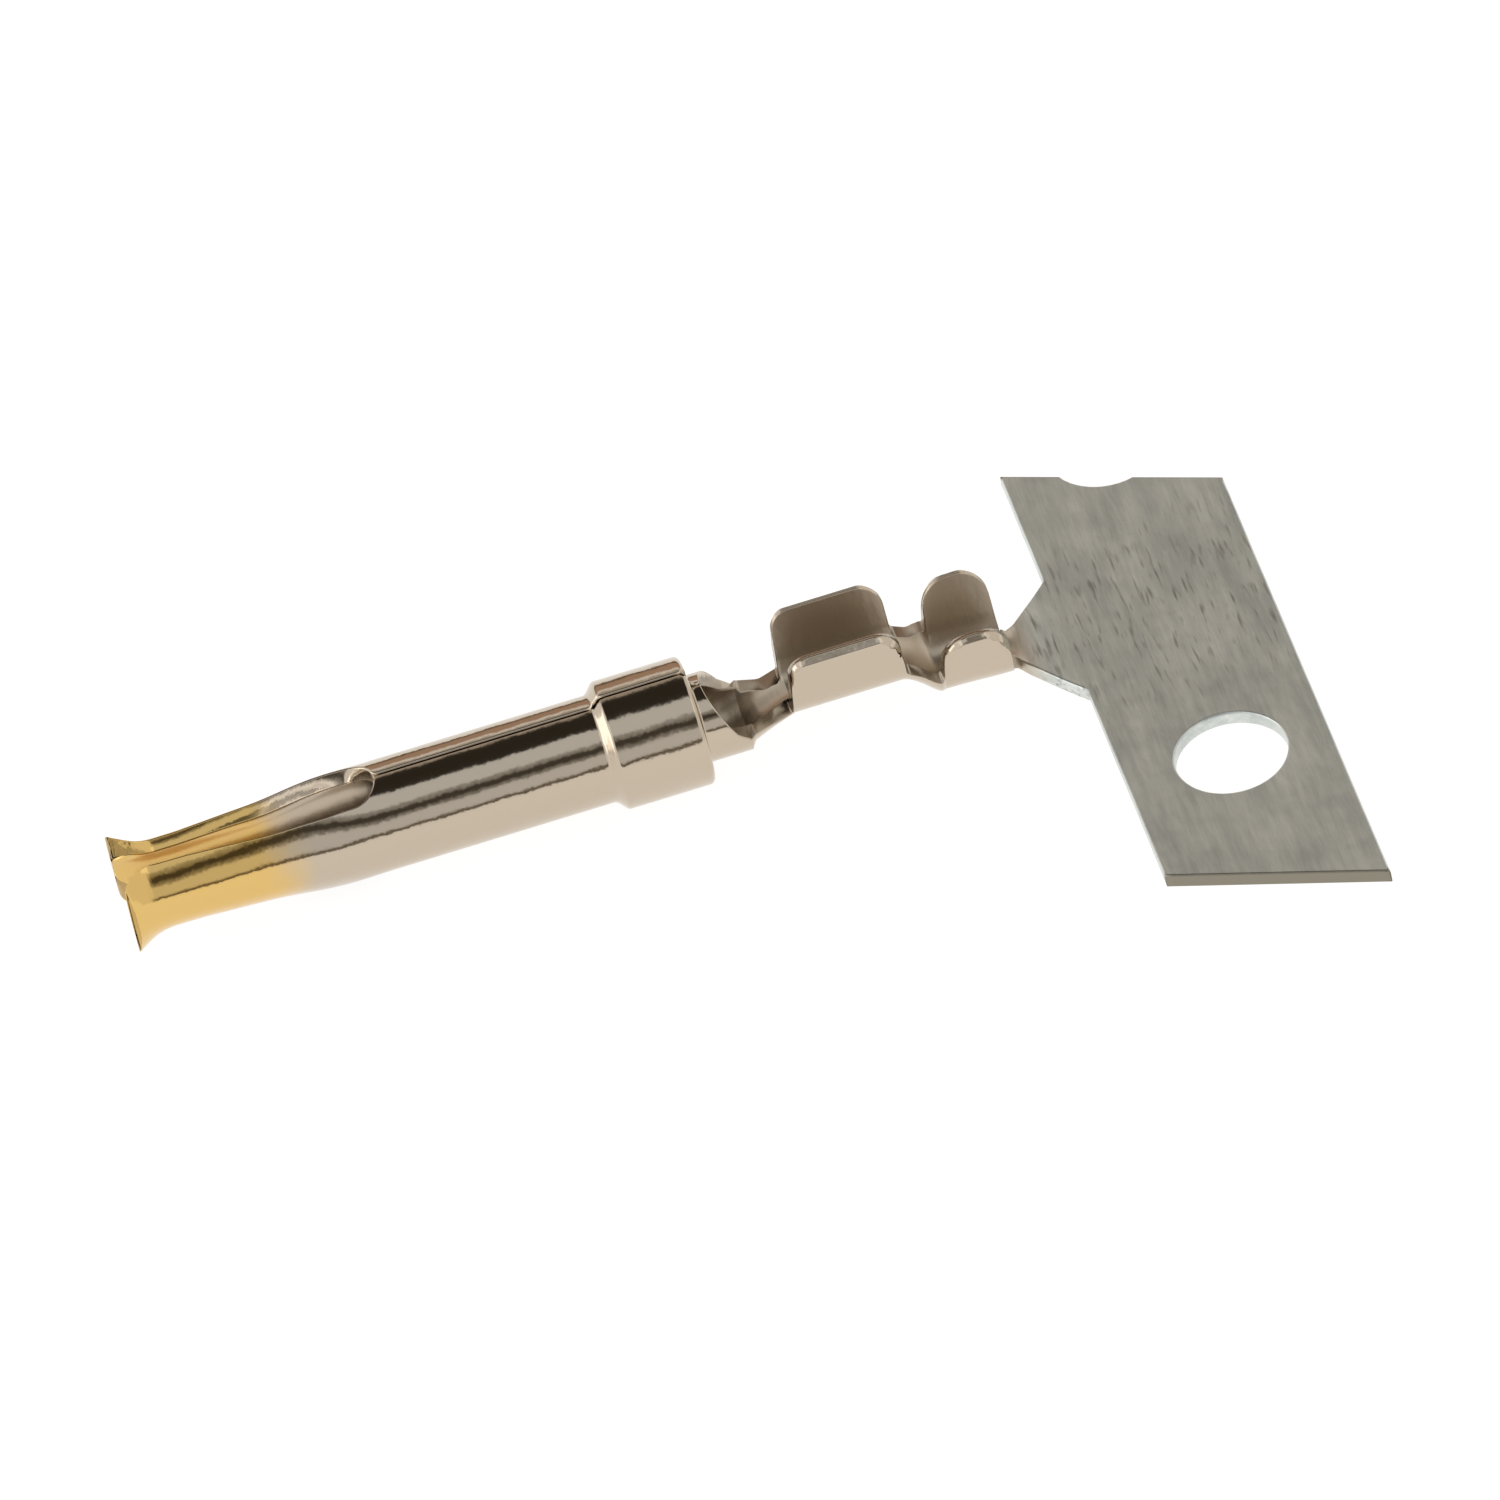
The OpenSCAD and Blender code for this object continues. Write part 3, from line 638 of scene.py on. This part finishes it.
# Points inside the outline. They stand in rows across the sheet, closer where the sheet bends.
ROW_STEP = 0.11               # spacing of the rows where the sheet is straight
ROW_TURN = math.radians(7)    # how much the sheet may bend from one row to the next
ROW_HALF, ACROSS = 3.6, 0.06  # half length of a row and spacing in it, as they would be on the tube
STRIP_HALF, STRIP_STEP = 9.6, 0.3
STRIP_GAP = 0.1               # what stays free of rows on both sides of the strip's front edge
heading = np.unwrap(np.arctan2(np.gradient(centre_z - outer_r), np.gradient(outer_x) + 1e-9))
bending = np.abs(np.diff(heading, prepend=heading[0])) / ROW_TURN
row_count = np.cumsum(bending + np.diff(station_l, prepend=0) / ROW_STEP)
before_strip = station_l < strip_l - STRIP_GAP
rows = np.interp(np.arange(0.3, row_count[before_strip][-1]), row_count, station_l)
strip_rows = np.arange(strip_l + STRIP_GAP, strip_l + STRIP_W, STRIP_STEP)


def evenly(half_length, spacing):
    """Even places on both sides of the sheet's middle."""
    n = round(half_length / spacing)
    return np.arange(-n, n + 1) * spacing


lattice = np.array([(l, s) for l in rows for s in evenly(ROW_HALF, ACROSS)]
                   + [(l, s) for l in strip_rows for s in evenly(STRIP_HALF, STRIP_STEP)])


def widen(l):
    """Width of the sheet at l for each unit of the tube's, so that rows of points line up along the socket."""
    return np.where(l < NECK_END_L, at(l, outer_r), NECK_R) / TUBE_R


def to_tube(points):
    """Points of the blank, with the sheet brought to the tube's width."""
    return np.column_stack([points[:, 0], points[:, 1] / widen(points[:, 0])])


steps = [into_metal(outline), into_metal(hole)]
in_channel = (ease(outline[:, 0], l_at(THROAT_X), l_at(WIRE_X))
              * (1 - ease(outline[:, 0], l_at(INSUL_END), l_at(FLAT_X))))
edge_radii = [EDGE_R + (WING_EDGE_R - EDGE_R) * in_channel, np.full(len(hole), EDGE_R)]
loops = [loop + step * r[:, None] for loop, step, r in zip((outline, hole), steps, edge_radii)]

# Lines of points keep the creases of the wings crisp: two along the foot of the coined bevel, and one
# along the inner side of the band that thins to the rim.
CREASE_STEP = 0.04
CREASE_HALF = 0.01            # half the distance between the two lines
CREASE_ROOM = 1.6 * WING_EDGE_R         # what the lines along the foot leave free before the edge
bevel_lines, band_lines = [], []
outline_z = form(outline[:, 0], outline[:, 1], np.zeros(len(outline)))[:, 2]
for start, end, tip, floor_centre in (
        (WIRE_X, WIRE_END, WIRE_TOP, WIRE_FLOOR + WIRE_R),
        (INSUL_X, INSUL_END, INSUL_TOP, INSUL_FLOOR + INSUL_R)):
    crease_l = l_at(np.arange(start, end, CREASE_STEP))
    r, lean = at(crease_l, outer_r), at(crease_l, wall_lean)
    touch = at(crease_l, centre_z) - r * np.sin(lean)
    crease_s = r * (math.pi / 2 - lean) + (tip - BEVEL_H - touch) / np.cos(lean)
    along_wing = (outline[:, 0] > l_at(start) - 0.06) & (outline[:, 0] < l_at(end) + 0.06)
    on_wall = outline_z > floor_centre + ROLL_OFF_RISE / 2
    for beside in (-CREASE_HALF, CREASE_HALF):
        clear = edge_across(crease_l, False) - crease_s - beside > CREASE_ROOM
        for sign in (1, -1):
            bevel_lines.append(np.column_stack([crease_l[clear], sign * (crease_s + beside)[clear]]))
    for sign in (1, -1):
        one_wing = along_wing & on_wall & (outline[:, 1] * sign > 0)
        band_lines.append((outline + steps[0] * ROLL_OFF)[one_wing])

# The blank is filled with triangles between the outlines, the creases and the rows of points.
loops_flat = [to_tube(loop) for loop in loops]
creases_flat = [to_tube(line) for line in bevel_lines + band_lines]
fixed = np.concatenate(loops_flat + creases_flat)
lattice = lattice[inside_loop(lattice, loops_flat[0]) & ~inside_loop(lattice, loops_flat[1])]
gap = np.full(len(lattice), np.inf)
for some in np.array_split(fixed, 40):
    gap = np.minimum(gap, np.linalg.norm(lattice[:, None] - some, axis=2).min(axis=1))
lattice = lattice[gap > ACROSS * 0.55]

edges, start = [], 0
for k, line in enumerate(loops_flat + creases_flat):
    n = len(line)
    closed = k < len(loops_flat)
    edges += [(start + i, start + (i + 1) % n) for i in range(n if closed else n - 1)]
    start += n
INSIDE_WITH_HOLES = 2
flat_points, _, fill, sources, *_ = delaunay_2d_cdt(
    [Vector(p) for p in np.concatenate([fixed, lattice])], edges, [], INSIDE_WITH_HOLES, 1e-7)
flat_points = np.array([tuple(p) for p in flat_points])
fill = np.array(fill)
fill = fill[~inside_loop(flat_points[fill].mean(axis=1), loops_flat[1])]
fill_l, fill_s = flat_points[:, 0], flat_points[:, 1] * widen(flat_points[:, 0])
filled_as = {old: new for new, olds in enumerate(sources) for old in olds}

# The sheet: both faces from the same triangles, and a rounded edge round each outline. The attribute
# inside_face is 1 on the inside, sheared_end is 1 on the strip's two sheared ends, and both are 0 on the
# outside. Tumbling polishes the cut edges that stand high, so they count mostly as outside.
POLISH, POLISH_Z = 0.75, 0.3  # share of the polish that they get, and the height from which they do
n_fill = len(flat_points)
places, facing = [], []
for depth in (np.zeros(n_fill), np.full(n_fill, INSIDE_FACE)):
    places.append(form(fill_l, fill_s, depth))
    facing.append(normals(fill_l, fill_s, depth))
inner_share = [np.zeros(n_fill), np.ones(n_fill)]
bare_share = [np.zeros(2 * n_fill)]
triangles = [tuple(f[::-1]) for f in fill] + [tuple(f + n_fill) for f in fill]
quads = []
count = 2 * n_fill
first = 0
quarter = [math.pi / 2 * k / EDGE_STEPS for k in range(EDGE_STEPS)]
for loop, step, radii in zip((outline, hole), steps, edge_radii):
    n = len(loop)
    sheared = np.maximum(on_line(loop, near_start, near_end), on_line(loop, far_end, far_start))
    flat_edge = loop + step * radii[:, None]
    rings = [[filled_as[first + i] for i in range(n)]]
    for face, turns in ((0, quarter[::-1]), (INSIDE_FACE, quarter)):
        for t in turns:
            p = loop + step * (radii * (1 - math.cos(t)))[:, None]
            depth = radii * (1 - math.sin(t)) * (-1 if face < 0 else 1) + face
            places.append(form(p[:, 0], p[:, 1], depth))
            sideways = form(loop[:, 0], loop[:, 1], depth) - form(flat_edge[:, 0], flat_edge[:, 1], depth)
            sideways /= np.linalg.norm(sideways, axis=1)[:, None]
            up = normals(flat_edge[:, 0], flat_edge[:, 1], depth)
            blend = sideways * math.cos(t) + up * math.sin(t)
            facing.append(blend / np.linalg.norm(blend, axis=1)[:, None])
            inner_share.append(1 - POLISH * ease(places[-1][:, 2], 0, POLISH_Z))
            bare_share.append(sheared)
            rings.append(list(range(count, count + n)))
            count += n
    rings.append([i + n_fill for i in rings[0]])
    for a, b in zip(rings[:-1], rings[1:]):
        quads += [(a[i], a[(i + 1) % n], b[(i + 1) % n], b[i]) for i in range(n)]
    first += n

mesh = bpy.data.meshes.new("contact_sheet")
mesh.from_pydata((np.concatenate(places) * MM).tolist(), [], triangles + quads)
mesh.shade_smooth()
for name, shares in (("inside_face", inner_share), ("sheared_end", bare_share)):
    attribute = mesh.attributes.new(name, "FLOAT", "POINT")
    attribute.data.foreach_set("value", np.concatenate(shares))
mesh.normals_split_custom_set_from_vertices(np.concatenate(facing).tolist())
contact = bpy.data.objects.new("contact_sheet", mesh)
bpy.context.collection.objects.link(contact)

# Nickel plate over the whole sheet, bright where the tube is drawn and rolled, satin on the strip.
# Gold is plated over it on the fingers only, and fades out where the plating bath ended.
GOLD_END, GOLD_FADE = 2.75, 0.85        # where the gold ends, and the length over which it thins out
GOLD_WAVE, GOLD_WAVES_PER_MM = 0.9, 1.2 # how far its edge wanders, and how often
SATIN_START, SATIN_FULL = 15.2, 15.8    # where the bright plate turns to the strip's satin
material, tree = new_material("plated_copper_alloy_sheet")
coordinates = add_node(tree, "ShaderNodeTexCoord")
on_piece = coordinates.outputs["Object"]
spot = add_node(tree, "ShaderNodeSeparateXYZ", {0: on_piece})
wave = add_node(tree, "ShaderNodeTexNoise", {"Vector": on_piece}, Scale=GOLD_WAVES_PER_MM / MM, Detail=3.0)
wandering_x = add_node(tree, "ShaderNodeMath", {0: wave.outputs[0], 1: GOLD_WAVE * MM, 2: spot.outputs["X"]},
                       operation="MULTIPLY_ADD")
gold = add_node(tree, "ShaderNodeMapRange", {"Value": wandering_x.outputs[0]}, interpolation_type="SMOOTHSTEP",
                From_Min=(GOLD_END + GOLD_WAVE / 2 + GOLD_FADE / 2) * MM,
                From_Max=(GOLD_END + GOLD_WAVE / 2 - GOLD_FADE / 2) * MM)
satin = add_node(tree, "ShaderNodeMapRange", {"Value": spot.outputs["X"]}, interpolation_type="SMOOTHSTEP",
                 From_Min=SATIN_START * MM, From_Max=SATIN_FULL * MM)
plate = add_node(tree, "ShaderNodeMixRGB", {"Fac": gold.outputs[0]},
                 Color1=linear("#C2B4A1"), Color2=linear("#DDB973"))

# Rolling marks of the strip: lines across the contact, along the reel, over softer patches. The real
# lines are finer, and are drawn as coarse as they need to show.
MARKS_PER_MM, MARK_SHAPE = 9, 0.09      # how many across, and their width as a share of their length
PATCHES_PER_MM, PATCH_SHAPE = 1.6, 0.35
stretched = add_node(tree, "ShaderNodeMapping", {"Vector": on_piece}, Scale=(1, MARK_SHAPE, 1))
marks = add_node(tree, "ShaderNodeTexNoise", {"Vector": stretched.outputs[0]},
                 Scale=MARKS_PER_MM / MM, Detail=4.0, Roughness=0.7)
stretched = add_node(tree, "ShaderNodeMapping", {"Vector": on_piece}, Scale=(1, PATCH_SHAPE, 1))
patches = add_node(tree, "ShaderNodeTexNoise", {"Vector": stretched.outputs[0]},
                   Scale=PATCHES_PER_MM / MM, Detail=2.0)
shade = add_node(tree, "ShaderNodeMath", {0: marks.outputs[0], 1: patches.outputs[0]}, operation="ADD")
tone = add_node(tree, "ShaderNodeMapRange", {"Value": shade.outputs[0]}, From_Min=0.7, From_Max=1.3)
strip = add_node(tree, "ShaderNodeMixRGB", {"Fac": tone.outputs[0]},
                 Color1=linear("#C1C5C2"), Color2=linear("#E4E8E2"))

# Round the middle of the strip, small dark strokes of painted shade stand for the dents that the feed leaves
# there.
DENTS_PER_MM, DENT_SHAPE = 13, 0.13
DENTS_NONE_Y, DENTS_MOST_Y = 3.4, 0.6   # distances from the contact's middle
stretched = add_node(tree, "ShaderNodeMapping", {"Vector": on_piece}, Scale=(1, DENT_SHAPE, 1))
strokes = add_node(tree, "ShaderNodeTexNoise", {"Vector": stretched.outputs[0]},
                   Scale=DENTS_PER_MM / MM, Detail=1.0)
dent_shade_strokes = add_node(tree, "ShaderNodeMapRange", {"Value": strokes.outputs[0]}, From_Min=0.58, From_Max=0.76)
from_middle = add_node(tree, "ShaderNodeMath", {0: spot.outputs["Y"]}, operation="ABSOLUTE")
middle = add_node(tree, "ShaderNodeMapRange", {"Value": from_middle.outputs[0]},
                  interpolation_type="SMOOTHSTEP", From_Min=DENTS_NONE_Y * MM, From_Max=DENTS_MOST_Y * MM)
painted_dent_shade = add_node(tree, "ShaderNodeMath", {0: dent_shade_strokes.outputs[0], 1: middle.outputs[0]}, operation="MULTIPLY")
# Painted shade: the dents' dark strokes are mixed into the strip's colour.
strip = add_node(tree, "ShaderNodeMixRGB", {"Fac": painted_dent_shade.outputs[0], "Color1": strip.outputs[0]},
                 Color2=linear("#9D9E98"))
colour = add_node(tree, "ShaderNodeMixRGB",
                  {"Fac": satin.outputs[0], "Color1": plate.outputs[0], "Color2": strip.outputs[0]})

# The ends of the strip are sheared after plating, so they show the bare alloy.
bare = add_node(tree, "ShaderNodeAttribute", attribute_name="sheared_end")
colour = add_node(tree, "ShaderNodeMixRGB", {"Fac": bare.outputs["Fac"], "Color1": colour.outputs[0]},
                  Color2=linear("#8E887A"))

# The rolled outside is polished by the tools. The inside keeps the sheet's duller face, most of all
# behind the collar, and so do the cut edges that lie low.
BRIGHT_ROUGH, DULL_ROUGH, SATIN_ROUGH = 0.11, 0.4, 0.36
TUBE_DULL = 0.7               # how dull the inside of the tube is, where the inside of the channel is 1
TUBE_DULL_END, CHANNEL_DULL_X = COLLAR_END - 0.6, COLLAR_END - 0.1
behind = add_node(tree, "ShaderNodeMapRange", {"Value": spot.outputs["X"]}, To_Min=TUBE_DULL, To_Max=1.0,
                  From_Min=TUBE_DULL_END * MM, From_Max=CHANNEL_DULL_X * MM)
inner = add_node(tree, "ShaderNodeAttribute", attribute_name="inside_face")
dull = add_node(tree, "ShaderNodeMath", {0: behind.outputs[0], 1: inner.outputs["Fac"]}, operation="MULTIPLY")
plate_rough = add_node(tree, "ShaderNodeMapRange", {"Value": dull.outputs[0]},
                       To_Min=BRIGHT_ROUGH, To_Max=DULL_ROUGH)
rough = add_node(tree, "ShaderNodeMix", {0: satin.outputs[0], 2: plate_rough.outputs[0], 3: SATIN_ROUGH})

# Ripples and a slower swell that rolling leaves in the sheet break up the long reflections.
RIPPLES_PER_MM, RIPPLE_SHAPE, SWELLS_PER_MM = 7, 0.5, 1.5
RIPPLE_DEPTH, SWELL_SHARE = 0.006, 2.0  # the swell is so many times as deep as the ripples
stretched = add_node(tree, "ShaderNodeMapping", {"Vector": on_piece}, Scale=(1, RIPPLE_SHAPE, RIPPLE_SHAPE))
ripples = add_node(tree, "ShaderNodeTexNoise", {"Vector": stretched.outputs[0]},
                   Scale=RIPPLES_PER_MM / MM, Detail=2.0)
swell = add_node(tree, "ShaderNodeTexNoise", {"Vector": on_piece}, Scale=SWELLS_PER_MM / MM, Detail=1.0)
height = add_node(tree, "ShaderNodeMath", {0: swell.outputs[0], 1: SWELL_SHARE, 2: ripples.outputs[0]},
                  operation="MULTIPLY_ADD")
bump = add_node(tree, "ShaderNodeBump", {"Height": height.outputs[0]}, Strength=1.0,
                Distance=RIPPLE_DEPTH * MM)
metal = add_node(tree, "ShaderNodeBsdfPrincipled",
                 {"Base Color": colour.outputs[0], "Roughness": rough.outputs[0], "Normal": bump.outputs[0]},
                 Metallic=1.0)
add_node(tree, "ShaderNodeOutputMaterial", {"Surface": metal.outputs[0]})
mesh.materials.append(material)
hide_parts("contact")
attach(contact, "root")
